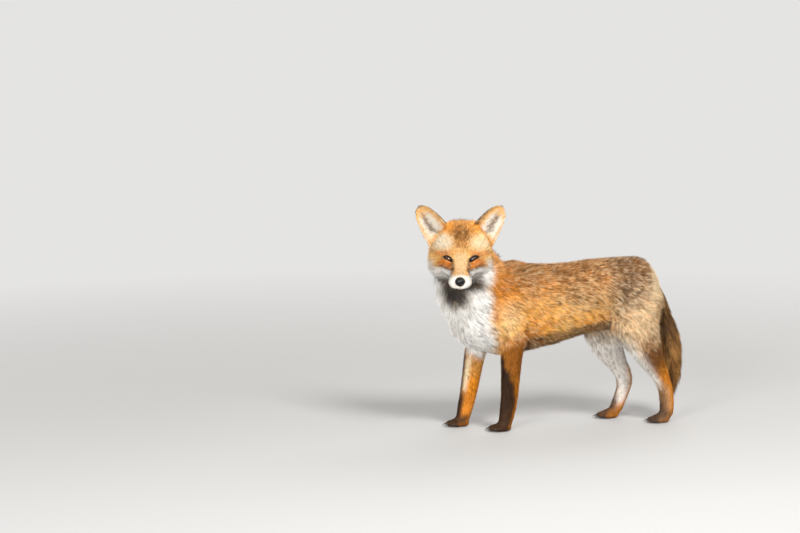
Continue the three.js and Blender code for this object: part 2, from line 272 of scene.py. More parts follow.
maneHair = {"depth": 1, "length": 20, "lift": 31}  # fills the dip behind the head


def coatRow(part):
    return coat.get(part) or coat[part.rsplit("_", 1)[0]]


def gatherFlesh(fatten):
    whole = bmesh.new()
    corners, faces, owner = [], [], []
    for number, part in enumerate(fleshParts):
        one = bmesh.new()
        one.from_mesh(nodes[part].data)
        bmesh.ops.remove_doubles(one, verts=one.verts, dist=1e-6)
        bmesh.ops.triangulate(one, faces=one.faces)
        one.verts.ensure_lookup_table()
        start = len(corners)
        corners += [v.co.copy() for v in one.verts]
        faces += [[v.index + start for v in f.verts] for f in one.faces]
        owner += [number] * len(one.faces)
        one.normal_update()
        for v in one.verts:
            v.co += v.normal * fatten
        mesh = bpy.data.meshes.new("part")
        one.to_mesh(mesh)
        whole.from_mesh(mesh)
        one.free()
        bpy.data.meshes.remove(mesh)
    for side in sides:  # the balls fill the sockets, so that the skin closes behind the lids
        at = Matrix.Translation(Vector(eyeAt[side]))
        bmesh.ops.create_uvsphere(whole, u_segments=24, v_segments=16, radius=skinMake["balls"], matrix=at)
    return whole, BVHTree.FromPolygons(corners, faces), np.array(owner)


def voxelSkin():
    whole, tree, owner = gatherFlesh(skinMake["fatten"])
    mesh = bpy.data.meshes.new("flesh")
    whole.to_mesh(mesh)
    whole.free()
    core = newObject("flesh", mesh)
    change = core.modifiers.new("one skin", "REMESH")
    change.mode = "VOXEL"
    change.voxel_size = skinMake["voxel"]
    change.use_smooth_shade = True
    made = bpy.data.meshes.new_from_object(core.evaluated_get(bpy.context.evaluated_depsgraph_get()))
    bpy.data.objects.remove(core)
    return made, tree, owner


def fetch(items, key, width, kind=np.float32):
    values = np.empty(len(items) * width, kind)
    items.foreach_get(key, values)
    return values.reshape(-1, width)


def putPoints(mesh, points):
    mesh.vertices.foreach_set("co", points.astype(np.float32).ravel())


skinMesh, fleshTree, fleshOwner = voxelSkin()
skinCount = len(skinMesh.vertices)
place = fetch(skinMesh.vertices, "co", 3).astype(float)
edges = fetch(skinMesh.edges, "vertices", 2, np.int32)
valence = np.maximum(np.bincount(edges.ravel(), minlength=skinCount), 1)


def spread(values, times, hold=None, share=0.5):  # evens a value out along the skin
    flat = values.ndim == 1
    v = values.reshape(len(values), -1).astype(float)
    for _ in range(times):
        near = np.empty_like(v)
        for k in range(v.shape[1]):
            near[:, k] = np.bincount(edges[:, 0], v[edges[:, 1], k], skinCount)
            near[:, k] += np.bincount(edges[:, 1], v[edges[:, 0], k], skinCount)
        near /= valence[:, None]
        step = (near - v) * share
        if hold is not None:
            step *= (1 - hold)[:, None]
        v = v + step
    return v[:, 0] if flat else v


def normalsOf(points):
    putPoints(skinMesh, points)
    skinMesh.update()
    return unit(fetch(skinMesh.vertices, "normal", 3))


def raised(points, amount):  # moved out along the normals, in m
    return points + normalsOf(points) * amount[:, None]


def treeOf(points):
    return BVHTree.FromPolygons([Vector(p) for p in points], [list(p.vertices) for p in skinMesh.polygons])


def mouthHeight(forward):
    return -40.5 + 0.17 * np.clip(64 - forward, 0, 70)


ownerOf = np.array([fleshOwner[fleshTree.find_nearest(Vector(p))[2]] for p in place])
# the foot of each ear counts as ear where it stands clear of the skull
skullWide = ([-106, -94, -76, -58, -38, -18, 0], [18, 44, 58, 64, 62, 55, 44])
skullHigh = ([-106, -94, -76, -58, -38, -18, 0], [40, 69, 78, 76, 67, 53, 38])
hf, hl, hu = toHead(place).T
bulge = (np.abs(hl) / np.interp(hf, *skullWide)) ** 2.15
bulge = bulge + (np.clip(hu + 20, 0, 200) / np.interp(hf, *skullHigh)) ** 2.15
earFoot = (ownerOf == fleshParts.index("head")) & (bulge > 1.05) & (hu > 4) & (np.abs(hf + 62) < 30)
for side, sign in sides.items():
    ownerOf[earFoot & (hl * sign > 40)] = fleshParts.index("ear_" + side)
partAt = np.array(fleshParts)[ownerOf]
isEar = np.char.startswith(partAt, "ear")
inHead = np.isin(partAt, ["head", "lower_jaw"])
earHold = np.clip(spread(isEar.astype(float), 3) * 1.3, 0, 1)

# how far the outline stands out at the haunch, rump, ears' feet, crown and behind the head, in m; the
# shoulder is only evened out
outlineMake = {"joints": 0.004, "rump": 0.010, "earFeet": 0.006, "crown": 0.002, "dip": -0.011}
outer = spread(place, 3, hold=earHold)
bf, bl, bz = toBody(outer).T
joints = ease(-96, -140, bf) * ease(236, 262, bz)
joints = np.maximum(joints, band(140, 165, 205, 230, bf) * ease(300, 330, bz))
outer = outer + (spread(outer, 90, hold=earHold) - outer) * joints[:, None]
outer = raised(outer, outlineMake["joints"] * joints * ease(-100, -140, bf))
rump = ease(1.3, 0.2, np.hypot((bf + 170) / 38, (bz - 336) / 34)) * ease(75, 40, np.abs(bl))
outer = raised(outer, outlineMake["rump"] * rump)
hf, hl, hu = toHead(outer).T
tuft = outlineMake["earFeet"] * bell((np.abs(hl) - 24) / 12, (hf + 66) / 24)
tuft = tuft + outlineMake["crown"] * bell(hl / 12, (hf + 60) / 24)
outer = outer + headUp * (tuft * ease(30, 46, hu) * inHead)[:, None]
dip = ease(1.2, 0.3, np.hypot((bf - 178) / 40, (bz - 384) / 36)) * (~inHead) * (1 - earHold)
outer = raised(outer, outlineMake["dip"] * dip)
outer = outer + (spread(outer, 8, hold=earHold) - outer) * (~inHead)[:, None]
normal = normalsOf(outer)
hf, hl, hu = toHead(outer).T
bf, bl, bz = toBody(outer).T

# how deep the coat is, how long and which way it lies
muzzle = ease(14, 50, hf) * inHead
cheek = ease(-12, -66, hf) * ease(-4, -38, hu) * inHead
cheek = np.maximum(cheek, ease(30, 62, np.abs(hl)) * ease(10, -40, hf) * ease(26, -10, hu) * inHead)
fringe = ease(32, 50, np.abs(hl)) * ease(24, 2, hf) * ease(12, -14, hu) * inHead
cheek = np.maximum(cheek, fringe) * ease(-80, -54, hf)
fringe = fringe * ease(-80, -54, hf)
crown = ease(-8, -50, hf) * ease(-4, 22, hu) * inHead
nape = ease(-62, -98, hf) * inHead
trim = ease(-30, -50, hf) * ease(36, 52, hl) * ease(14, 0, hu) * inHead
mane = band(108, 134, 160, 196, bf) * ease(318, 338, bz)
mane = mane * ease(-0.1, 0.4, normal[:, 2]) * ease(-90, -112, hf)
smile = bell((hu - mouthHeight(hf)) / 5) * ease(-2, 8, hf) * ease(52, 44, np.abs(hl)) * inHead
jaw = partAt == "lower_jaw"
field = {}


def bring(traits, share, onlyShorter=False):  # draws traits of the coat towards set values
    for key, value in traits.items():
        goal = np.minimum(value, field[key]) if onlyShorter else value
        field[key] = field[key] + (goal - field[key]) * share


for number, (key, (face, *others)) in enumerate(headCoat.items()):
    field[key] = np.array([coatRow(part)[number] for part in fleshParts], float)[ownerOf]
    value = face
    for goal, share in zip(others, (muzzle, crown, cheek, nape)):
        value = value + (goal - value) * share
    field[key] = np.where(inHead & ~jaw, value, field[key])
    field[key] = np.where(jaw, field[key] + (value - field[key]) * ease(30, 0, hf), field[key])
bring(cheekEnd, trim)
bring(maneHair, mane)
bring(shortHair, smile)
for key in field:
    field[key] = np.where(inHead, spread(field[key], 20), spread(field[key], 60, hold=earHold))
    field[key] = spread(field[key], 6, hold=earHold)
bring(shortHair, smile, onlyShorter=True)
field["depth"][isEar] = np.minimum(field["depth"][isEar], 0.8)

way = np.array([bodyWay(*coatRow(part)[-1]) for part in fleshParts])[ownerOf]
way[inHead] = unit(outer[inHead] - fromHead(84, 0, -26))  # away from the tip of the nose
ruffWay = np.where(hl > 0, 0.3, -0.9)[:, None] * headSide - headUp * 0.6  # the ruff stands out and down
way = way + (fringe * (1 - trim))[:, None] * ruffWay
earRoot, earWay = {}, {}
for side, sign in sides.items():
    on = np.where(partAt == "ear_" + side)[0]
    earRoot[side] = fromHead(-62, sign * 42, 23)
    reach = np.linalg.norm(outer[on] - earRoot[side], axis=1)
    earWay[side] = unit(outer[on[np.argmax(reach)]] - earRoot[side])
    way[on] = earWay[side]
way = unit(spread(way, 24, hold=earHold * 0.8))

# the skin goes in by the coat's depth, but never through to the other side
inTree = treeOf(outer)
room = np.full(skinCount, 0.2)
for i in range(skinCount):
    p, n = Vector(outer[i]), Vector(normal[i])
    hit = inTree.ray_cast(p - n * 0.0006, -n, 0.2)
    if hit[0] is not None:
        room[i] = hit[3]
depth = np.minimum(field["depth"] / 1000, room * 0.3)
depth = np.minimum(spread(depth, 6), room * 0.36 + 0.0002)
smoothNormal = unit(spread(normal, 10, hold=earHold))
skinAt = outer - smoothNormal * depth[:, None]
skinAt = spread(skinAt, skinMake["smooth"], hold=earHold)
depth = np.einsum("ij,ij->i", outer - skinAt, normal)
print("skin laid under the coat:", skinCount, "points")

eyeMake = {  # in mm and degrees
    "radius": 9.0, "turn": 24, "rise": 28, "slant": 28,  # the ball and how it looks out
    "half": 8.4, "upper": 1.65, "lower": 1.5,  # the slit
    "dome": 9.9, "lidHalf": 16.4, "lidHigh": 5.0, "inner": 16, "outer": 17.5,  # the lids and their rim
    "iris": 6.4, "pupil": (1.2, 4.4), "facets": 128, "rows": 64,
    "amber": (0.44, 0.26, 0.09), "sclera": (0.17, 0.11, 0.08), "back": (0.3, 0.2, 0.16),
}
facePads = [  # forward and reach, up and reach, how far out it starts and is full, mm left and right
    (64, 15, -30, 11, (6, 16), (1.2, 1.2)),  # pads that carry the whiskers
    (-24, 26, -4, 26, (34, 54), (1.0, 0.5)),  # temples
    (-40, 30, -42, 24, (24, 44), (0.5, 3.2)),  # lower cheeks
]
eyeFrame = {}
turn, rise, slant = (math.radians(eyeMake[key]) for key in ("turn", "rise", "slant"))
for side, sign in sides.items():
    gaze = math.cos(rise) * headFront + math.sin(rise) * headUp
    crest = math.cos(rise) * headUp - math.sin(rise) * headFront
    look = math.cos(turn) * gaze + math.sin(turn) * sign * headSide
    out = -math.sin(turn) * gaze + math.cos(turn) * sign * headSide
    along = math.cos(slant) * out + math.sin(slant) * crest
    across = -math.sin(slant) * out + math.cos(slant) * crest
    eyeFrame[side] = (along, across, look)


def inEye(p, side):  # along the slit towards the outer corner, up across it, and out of the eye, in mm
    q = (p - eyeAt[side]) * 1000
    return np.stack([q @ axis for axis in eyeFrame[side]], -1)


def fromEye(q, side):
    along, across, look = eyeFrame[side]
    return eyeAt[side] + (q[..., :1] * along + q[..., 1:2] * across + q[..., 2:3] * look) / 1000


def pigment(q, soft=1.0):  # the black rim round the slit, drawn out to both corners
    across = q[..., 1] - 0.5 + 0.010 * q[..., 0] ** 2
    reach = np.where(q[..., 0] > 0, eyeMake["outer"], eyeMake["inner"])
    taper = np.clip(1 - np.abs(q[..., 0] / reach) ** 3.6, -0.2, 1)
    return ease(soft * 0.5, -soft * 0.5, np.abs(across) - eyeMake["lidHigh"] * taper)


# the lids' domes close over the balls, and the skin dips under the ball in the slit
for side in sides:
    q = inEye(skinAt, side)
    flat = np.hypot(q[:, 0], q[:, 1])
    dome = np.sqrt(np.maximum(eyeMake["dome"] ** 2 - flat**2, 0))
    near = (q[:, 2] > -4) & (flat < 15) & (q[:, 2] < 24)
    q[near, 2] = np.maximum(q[near, 2], (dome - 0.1 * np.maximum(flat - 7, 0) ** 2)[near])
    skinAt[near] = fromEye(q[near], side)
    skinAt = spread(skinAt, 3, hold=np.where(near & (flat < 14), 0.0, 1.0))
faceTree = treeOf(skinAt)
for side in sides:
    q = inEye(skinAt, side)
    slit = np.hypot(q[:, 0] / (eyeMake["half"] + 1.2), q[:, 1] / (eyeMake["upper"] + 1.0))
    deep = (q[:, 2] > 0) & (q[:, 2] < 24) & (slit < 1)
    r = np.linalg.norm(q, axis=1)
    q[deep] *= (np.minimum(7.6, r[deep]) / r[deep])[:, None]
    skinAt[deep] = fromEye(q[deep], side)

sf, sl, su = toHead(skinAt).T
for forward, forwardReach, up, upReach, (start, whole), (left, right) in facePads:
    pad = bell((sf - forward) / forwardReach, (su - up) / upReach) * ease(start, whole, np.abs(sl)) * inHead
    skinAt += np.sign(sl)[:, None] * headSide * (pad * np.where(sl > 0, left, right))[:, None] / 1000
sf, sl, su = toHead(skinAt).T
lip = bell((su - mouthHeight(sf)) / 1.7) * ease(2, 12, sf) * inHead
groove = bell(sl / 1.6) * ease(70, 78, sf) * ease(-24, -30, su) * inHead
skinAt -= normalsOf(skinAt) * (lip * 1.2 + groove)[:, None] / 1000
skinNormal = normalsOf(skinAt)
skinBody = toBody(skinAt)
print("face shaped")

paint = {
    "orange": (0.90, 0.55, 0.13),
    "golden": (0.88, 0.64, 0.33),
    "sand": (0.90, 0.72, 0.53),
    "russet": (0.77, 0.47, 0.21),
    "brown": (0.58, 0.38, 0.20),
    "umber": (0.38, 0.26, 0.16),
    "dark": (0.20, 0.15, 0.12),
    "black": (0.11, 0.09, 0.08),
    "smoke": (0.47, 0.38, 0.30),
    "cream": (0.955, 0.875, 0.73),
    "straw": (0.95, 0.77, 0.50),
    "white": (0.975, 0.955, 0.925),
    "tan": (0.90, 0.67, 0.38),
    "rust": (0.82, 0.47, 0.17),
    "bridge": (0.905, 0.73, 0.53),
    "cinnamon": (0.55, 0.33, 0.11),
    "pink": (0.44, 0.32, 0.28),
}
paint = {name: linear(*colour) for name, colour in paint.items()}


def mix2(a, b, share):  # the same as mix, for plain numbers
    return a * (1 - share) + b * share


def shade(name, other=None, part=0.0):  # a paint, or a part of another one mixed into it
    return paint[name] if other is None else mix2(paint[name], paint[other], part)


def plain(p, *colour):
    return np.tile(shade(*colour), (len(p), 1))


def lay(base, *layers):  # paints over one another, each by its share
    for share, *colour in layers:
        base = mix(base, shade(*colour), share)
    return base


def spot(p, centre, size, soft=0.4):  # 1 inside an egg-shaped patch, 0 outside it
    far = np.linalg.norm((p - np.array(centre, float)) / np.array(size, float), axis=1)
    return ease(1 + soft, 1 - soft, far)


def wave(p, size, seed=0.0):  # a slow, even unrest between -1 and 1
    x, y, z = (p / size).T
    s = np.sin(x * 1.7 + y * 2.3 + seed) + np.sin(y * 1.9 - z * 1.3 + seed * 2.1)
    return (s + np.sin(z * 2.6 - x * 1.1 + seed * 3.3)) / 3


# all markings give the ground colour, the tip colour, the share of pale tips and the share of dark tips
def bodyMarks(p, n):
    f, l, z = p.T
    rag = wave(p, 14) * 6 + wave(p, 6, 2.0) * 4
    side = np.abs(l)
    broad = np.stack([f, z], -1)
    under = ease(-0.25, -0.75, n[:, 2])
    high = ease(262, 320, z + rag)
    ridge = np.maximum(ease(0.2, 0.9, n[:, 2]) * 0.75, ease(312, 342, z + rag))
    glow = spot(broad, (196, 300), (40, 66), 0.5)  # saturated behind the bib and behind the elbow
    grey = spot(broad, (-2, 288), (62, 34), 0.6)  # middle of the flank
    grizzle = ease(-44, -100, f + rag)  # haunch: sand over dark
    hollow = spot(broad, (-78, 262), (24, 50), 0.6)  # dark streaks in front of the hip
    patch = spot(broad, (-112, 294), (24, 30), 0.7)
    belly = np.maximum(under, ease(206, 178, z + rag)) * ease(176, 130, f) * ease(-180, -96, f)
    base = lay(
        plain(p, "golden"),
        (high * 0.7, "russet"),
        (ridge * ease(225, 150, f) * 0.75, "brown"),
        (glow * 0.95, "orange"),
        (spot(broad, (182, 330), (26, 26), 0.6) * 0.6, "russet"),
        (spot(broad, (112, 228), (38, 38), 0.6) * 0.7, "orange"),
        (spot(broad, (140, 196), (46, 28), 0.5) * 0.95, "russet", "cinnamon", 0.45),
        (spot(broad, (172, 232), (22, 24), 0.7) * 0.5, "straw"),
        (spot(broad, (176, 262), (24, 30), 0.7) * 0.3, "cream"),
        (spot(broad, (-2, 288), (60, 30), 0.6) * 0.38, "smoke"),
        (spot(broad, (-36, 232), (50, 22), 0.6) * 0.55, "orange"),
        (grizzle * ease(350, 300, z) * 0.9, "sand"),
        (grizzle * ease(262, 330, z + rag) * 0.4, "brown"),
        (spot(broad, (-96, 216), (26, 30), 0.6) * 0.5, "tan"),
        (hollow * (0.38 + 0.3 * wave(p, 5, 6.0)), "umber"),
        (patch * 0.5, "umber"),
        (belly * 0.85, "umber"),
    )
    tip = lay(plain(p, "straw", "cream", 0.5), (grizzle, "cream"))
    pale = np.full(len(p), 0.28) * (1 - 0.5 * glow) + grey * 0.14
    pale = pale + grizzle * (0.30 + 0.14 * ease(290, 240, z))
    deep = np.full(len(p), 0.17) + 0.28 * high + grey * 0.12
    deep = deep + grizzle * (0.16 + 0.12 * ease(250, 300, z))
    deep = deep + hollow * 0.2 + patch * 0.16 + belly * 0.1
    # white bib and ruff, streaked with grey, and a painted shadow of the head on the white throat
    border = f - side * 0.30 - np.clip(z - 300, 0, 60) * 0.30 + rag * 1.1
    bib = ease(180, 208, border + ease(290, 210, z) * 6)
    bib = np.maximum(bib, ease(228, 246, f + rag * 0.5) * ease(66, 50, side))
    scruff = ease(2, -20, l) * ease(296, 322, z + rag) * ease(256, 232, f)
    scruff = np.maximum(scruff, ease(376, 392, z + rag * 0.5))
    bib = bib * (1 - scruff)
    streak = ease(0.25, 0.85, wave(p * np.array([1, 1, 0.3]), 4.5, 5.0))
    # painted shadow: the throat under the chin is darkened, with fewer pale tips and white-free tips
    throatShadow = spot(p, (284, 38, 316), (37, 31, 35), 0.4)
    # pale seam down the back of the rump
    seat = ease(-146, -172, f + rag * 0.6) * ease(262, 292, z) * ease(352, 336, z + rag)
    tan = spot(broad, (-188, 258), (22, 36), 0.6)
    base = lay(
        base,
        (scruff * ease(180, 215, f) * 0.7, "tan"),
        (bib, "white"),
        (bib * (0.01 + 0.42 * streak), "smoke"),
        (throatShadow * bib * 0.97, "dark", "black", 0.5),
        (seat * 0.85, "sand", "cream", 0.4),
        (tan * 0.6, "golden"),
        (tan * 0.25, "brown"),
    )
    # hardly any pale tips in the painted throat shadow
    pale = mix2(pale, 0.6 - 0.58 * throatShadow, bib) + seat * 0.15
    deep = mix2(deep, 0.16, bib) * (1 - 0.75 * seat)
    return base, lay(tip, (bib * (1 - throatShadow * 0.9), "white")), pale, deep


def legMarks(p, n, part):
    f, _, z = p.T
    rag = wave(p, 11, 1.0) * 5 + wave(p, 5, 4.0) * 3
    side = 1 if part.endswith("left") else -1
    inner = ease(0.0, 0.6, -side * n[:, 0])
    outside = 1 - inner
    ahead = -n[:, 1]
    front, rear = ease(-0.15, 0.45, ahead), ease(0.0, 0.6, -ahead)
    pale, deep = np.zeros(len(p)), np.full(len(p), 0.14)
    if part.startswith("fore"):
        dim = outside * ease(226, 186, z) * (0.45 + 0.45 * ease(90, 140, z) + 0.1 * wave(p, 6, 2.0))
        stripe = ease(0.3, 0.6, ahead) * ease(70, 88, z + rag) * ease(160, 146, z + rag) * inner
        border = np.interp(z + rag * 1.6, [60, 100, 132, 152, 176], [-0.45, -0.25, 0.3, 0.75, 1.1])
        sock = ease(-0.2, 0.15, ahead - border) * outside
        sock = np.maximum(sock, ease(84, 66, z + rag) * ease(0.3, 0.7, ahead))
        sock = np.maximum(sock, ease(34, 20, z + rag * 0.6) * (1 - 0.5 * rear))
        base = lay(
            plain(p, "orange"),
            (dim, "cinnamon"),
            (inner * ease(100, 50, z) * 0.4, "russet"),
            (inner * ease(100, 130, z) * 0.3, "straw"),
            (ease(190, 225, z) * 0.6, "golden"),
            (inner * ease(144, 166, z + rag - 8 * front) * 0.95, "white"),
            (stripe * 0.9, "cream"),
            (sock * 0.94, "black"),
        )
        return base, plain(p, "cream"), pale, deep
    broad = np.stack([f, z], -1)
    grizzle = ease(140, 196, z + rag) * outside
    saddle = spot(broad, (-166, 162), (32, 46), 0.4) * outside
    light = inner * (1 - 0.75 * rear * ease(130, 100, z))
    light = np.maximum(light, ease(-0.05, 0.5, ahead) * ease(64, 92, z + rag))
    sock = ease(62, 44, z + rag) * ease(0.1, 0.6, ahead)
    sock = np.maximum(sock, outside * ease(96, 60, z + rag) * ease(-0.2, 0.3, ahead) * 0.8)
    base = lay(
        plain(p, "orange"),
        (outside * 0.25, "brown"),
        (grizzle * 0.9, "sand"),
        (saddle * 0.95, "cinnamon", "umber", 0.35),
        (spot(broad, (-172, 140), (22, 34), 0.6) * outside * 0.3, "umber"),
        (light * ease(22, 40, z + rag) * ease(262, 215, z) * 0.95, "white", "bridge", 0.12),
        (outside * ease(-0.6, -0.1, ahead) * ease(96, 76, z) * 0.65, "bridge", "smoke", 0.5),
        (sock * 0.85, "dark"),
        (ease(40, 16, z + rag * 0.5) * 0.75 * (1 - 0.6 * rear), "dark"),
    )
    pale = (pale + grizzle * 0.34) * (1 - 0.75 * saddle)
    deep = (deep + grizzle * 0.2) * (1 - 0.8 * light * ease(130, 100, z))
    return base, plain(p, "cream"), pale, deep


def tailMarks(p, n):
    f, _, z = p.T
    rag = wave(p, 12, 3.0) * 7
    base = lay(
        plain(p, "brown", "umber", 0.5),
        (ease(0.0, 0.8, wave(p * np.array([1, 1, 0.25]), 5, 1.5)) * 0.6, "tan"),
        (ease(0.1, 0.9, n[:, 1]) * 0.45, "dark"),
        (spot(np.stack([f, z], -1), (-206, 232), (30, 56), 0.5) * 0.75, "dark"),
        (ease(150, 90, z + rag) * 0.35, "dark"),
        (ease(66, 48, z + rag * 0.4), "white"),
    )
    tip = lay(plain(p, "golden"), (ease(70, 50, z), "white"))
    return base, tip, np.full(len(p), 0.28), np.full(len(p), 0.38)


def headMarks(p, n, world):
    f, s, u = p.T
    a = np.abs(s)
    low = 0.93 * u - 0.36 * f  # how high a place sits on the face
    seen = np.stack([a, low], -1)
    rag = wave(p, 7, 1.0) * 2.5 + wave(p, 3, 2.0) * 1.4
    top = ease(24, 50, low + rag)
    # speckled middle of the forehead, darker towards the crown
    mid = ease(26, 8, a + rag) * ease(16, 26, low + rag) * ease(80, 62, low)
    dusk = spot(seen, (0, 52), (22, 14), 0.6)
    speck = ease(-0.3, 0.5, wave(p, 2.4, 7.0))
    nape = ease(-48, -70, f) * ease(14, 38, u)
    brow = spot(seen, (41, 33), (19, 15), 0.7) * (0.8 + 0.2 * wave(p, 4, 8.0))
    # white cheeks, chin and throat
    white = ease(-20, -27, low - 0.42 * (a - 30) + rag * 0.8)
    white = white * ease(15, 22, a + np.clip(-38 - low, 0, 30) * 0.6)
    outerCheek = ease(47, 55, a + rag * 0.4 + 3 * (s > 0)) * ease(2, -8, low + rag - 2 * (s > 0))
    white = np.maximum(white, outerCheek)
    white = np.maximum(white, ease(-33, -40, u) * ease(66, 20, f))
    ruff = ease(-14, -44, f) * ease(-24, -44, low)
    streak = ease(0.1, 0.8, wave(p, 4, 9.0))
    # painted shade: under the jaw and behind the mouth the coat is painted darker, where the chin's shadow
    # falls
    under = ease(-42, -54, u) * ease(60, 42, a + 0.2 * s) * ease(72, 60, f)
    # rust patch under the eye with its dark edge, rust strip over it
    tilt = low - (-12.5 + 0.5 * (a - 31))
    slope = np.stack([a, tilt], -1)
    patch = spot(slope, (31.5, 0), (17, 9.5), 0.22) * ease(-4, 4, f)
    edge = spot(slope, (31.5, -1), (20.5, 11.5), 0.16) - spot(slope, (31.5, 0.8), (15.5, 8.5), 0.2)
    # bridge of the nose, white muzzle end, and the dark line from the inner corner of the eye down to it
    bridge = ease(15.5, 9, a) * ease(14, 4, low) * ease(-46, -40, low) * ease(-4, 6, f)
    flank = ease(9, 13.5, a) * ease(20, 16, a) * ease(-10, -20, low) * ease(6, 14, f)
    end = ease(-33, -37.5, low + rag * 0.4 + 0.06 * a) * ease(32, 44, f)
    line = bell((a - 16.9 - 0.32 * np.clip(-22 - low, 0, 18)) / 3.2)
    line = line * ease(0, 6, f) * ease(-44, -38, low) * ease(0, -6, low)
    # painted shade: a dark line in the crease from the corner of the mouth up the left cheek
    creaseShade = bell((low + 52 - 0.95 * (a - 22) + 0.3 * rag) / 3.4) * band(20, 25, 38, 45, a) * (s > 0)
    base = lay(
        plain(p, "tan"),
        (top * 0.35, "russet"),
        (mid * (0.22 + 0.6 * speck), "rust", "brown", 0.35),
        (dusk * (0.38 + 0.42 * speck), "cinnamon", "umber", 0.4),
        (nape * 0.7, "russet"),
        (nape * ease(18, 6, a) * 0.5, "rust"),
        (spot(seen, (34, 62), (16, 20), 0.5) * 0.75, "orange"),  # between brow and ear
        (ease(48, 58, a + rag) * ease(-6, 6, low + rag) * 0.7, "golden"),
        (brow * 0.95, "cream"),
        # painted light: the right brow is painted whiter, standing in for light falling on it
        (brow * ease(0, -20, s) * 0.5, "white"),
        (white, "white"),
        (ruff * (0.06 + 0.4 * streak), "smoke"),
        # brown streaks on the right cheek only: partly fur streaks, partly painted shade on the side away
        # from the light
        (white * ease(-30, -46, s) * ease(-0.2, 0.7, wave(p, 4, 12.0)) * 0.5, "brown"),
        # painted shade under the jaw
        (under * 0.97, "dark", "black", 0.5),
        (spot(seen, (36, -58), (18, 20), 0.5) * 0.4, "smoke"),
        (patch * 0.95, "rust"),
        (patch * ease(0.0, 0.7, wave(p, 2.2, 11.0)) * 0.5, "umber"),
        (np.clip(edge, 0, 1) * ease(-4, 4, f) * ease(3, -3, tilt), "umber"),
        (spot(seen, (35, 10.5), (19, 5.5), 0.5) * 0.75, "rust"),
        (bridge * 0.95, "bridge"),
        (flank * 0.3, "orange"),
    )
    base = mix(base, shade("white", "cream", 0.2) * 0.92, end)
    base = lay(
        base,
        (line * 0.97, "umber", "black", 0.65),
        # painted shade in the crease on the left cheek
        (creaseShade * ease(-30, -10, f) * 0.85, "umber", "black", 0.65),
    )
    tip = lay(plain(p, "cream", "golden", 0.3), (top, "straw"), (white, "white"))
    pale = np.full(len(p), 0.26) * (1 - 0.6 * np.maximum(mid, dusk)) + brow * 0.3
    # hardly any pale tips in the painted shade under the jaw
    pale = (pale + white * 0.3) * (1 - 0.96 * under) - patch * 0.22 + end * 0.3
    deep = (np.full(len(p), 0.08) + mid * 0.34 + dusk * 0.12) * (1 - 0.7 * brow)
    # more dark tips in the ruff; on the right cheek the extra dark tips are painted shade
    deep = deep + ruff * 0.14 + ease(-44, -58, s) * ease(6, -12, low) * 0.22
    # behind the cheeks the neck's own colour
    body = bodyMarks(toBody(world), n)
    rimAt = a + rag + np.where(s > 0, 4.5 + 0.30 * np.clip(-22 - low, 0, 45), 0)
    share = np.maximum(ease(-56, -76, f + rag), ease(57, 65, rimAt)) * (1 - nape)
    share = share * (1 - ease(-2, 8, low) * ease(-40, -56, s))
    return blended((base, tip, pale, deep), (*body[:3], body[3] * 0.35), share)


def earMarks(points, normals, side):
    root, axis = earRoot[side], earWay[side]
    across = unit(np.cross(axis, headFront)) * sides[side]
    if across @ headSide * sides[side] < 0:
        across = -across
    q = points - root
    t = q @ axis * 1000 / 86  # 0 at the ear's foot, 1 at its tip
    s = (q - (q @ axis)[:, None] * axis) @ across * 1000  # towards the outer edge
    inside = ease(-0.1, 0.3, normals @ headFront)
    edge = s / (31 * np.sqrt(np.clip(1.04 - np.clip(t, 0, 1) ** 2.4, 0.02, 1)))
    rough = wave(points * 1000, 4) * 0.12
    cup = lay(plain(q, "cream"), (ease(0.1, 0.25, t) * ease(0.85, 0.6, t) * 0.7, "white")) * 0.8
    lie = {"left": 0.14, "right": 0.34}[side]  # where the grey streak runs in the cup
    streak = bell((edge - lie + 0.1 * (t - 0.3) + rough) / 0.22) * ease(0.18, 0.32, t) * ease(0.92, 0.74, t)
    # painted shade: a black slit at the foot of the cup, where the ear's opening lies in shadow
    slit = bell((t - 0.13 - 0.42 * edge + rough * 0.3) / 0.05) * band(-0.3, -0.1, 0.4, 0.55, edge)
    cup = lay(
        cup,
        (streak * 0.95, "pink"),
        (streak**2 * ease(-0.3, 0.6, wave(points * 1000, 3, 3.0)) * 0.7, "dark"),
        # painted shade at the ear's opening
        (slit * 0.85, "black"),
        (ease(0.64, 0.86, t + rough) * 0.85, "golden"),
        (ease(-0.22, -0.55, edge + rough) * 0.9, "golden"),
        (ease(-0.3, -0.6, edge) * ease(0.35, 0.0, t) * 0.8, "orange"),
        (ease(0.60, 0.84, edge + rough) * ease(0.1, 0.3, t) * 0.7, "golden"),
        (ease(0.20, 0.04, t + rough * 0.6) * 0.85, "golden", "orange", 0.4),
        (np.maximum(ease(-0.80, -0.94, edge), ease(0.92, 1.0, t)) * 0.9, "umber", "dark", 0.5),
    )
    behind = lay(plain(q, "black"), (ease(0.30, -0.1, t + rough) * 0.9, "russet"))
    tip = lay(plain(q, "cream"), (1 - inside, "dark"))
    return mix(behind, cup, inside), tip, 0.5 * inside + 0.05, 0.05 * np.ones(len(q))


def blended(marks, others, share):  # from one set of markings to another
    return tuple((mix if a.ndim > 1 else mix2)(a, b, share) for a, b in zip(marks, others))


def marks(points, normals, part):
    body = toBody(points)
    if part in ("head", "lower_jaw"):
        h = toHead(points)
        f, s, u = h.T
        base, *others = headMarks(h, normals, points)
        for side in sides:
            q = inEye(points, side)
            base = lay(base, (pigment(q, 1.8) * (q[:, 2] > -11) * 0.95, "black"))
        line = bell((u - mouthHeight(f)) / 2.2) * ease(0, 9, f) * ease(50, 44, np.abs(s))
        return lay(base, (line * 0.9, "black")), *others
    if part.startswith("ear"):
        return earMarks(points, normals, part.rsplit("_", 1)[1])
    if part.startswith("tail"):
        return tailMarks(body, normals)
    legEnd = {"thigh": (150, 235), "forearm": (186, 226)}.get(part.split("_")[0])
    if part.startswith(("fore", "hind", "thigh", "shank")):
        leg = legMarks(body, normals, part)
        return blended(leg, bodyMarks(body, normals), ease(*legEnd, body[:, 2])) if legEnd else leg
    return bodyMarks(body, normals)


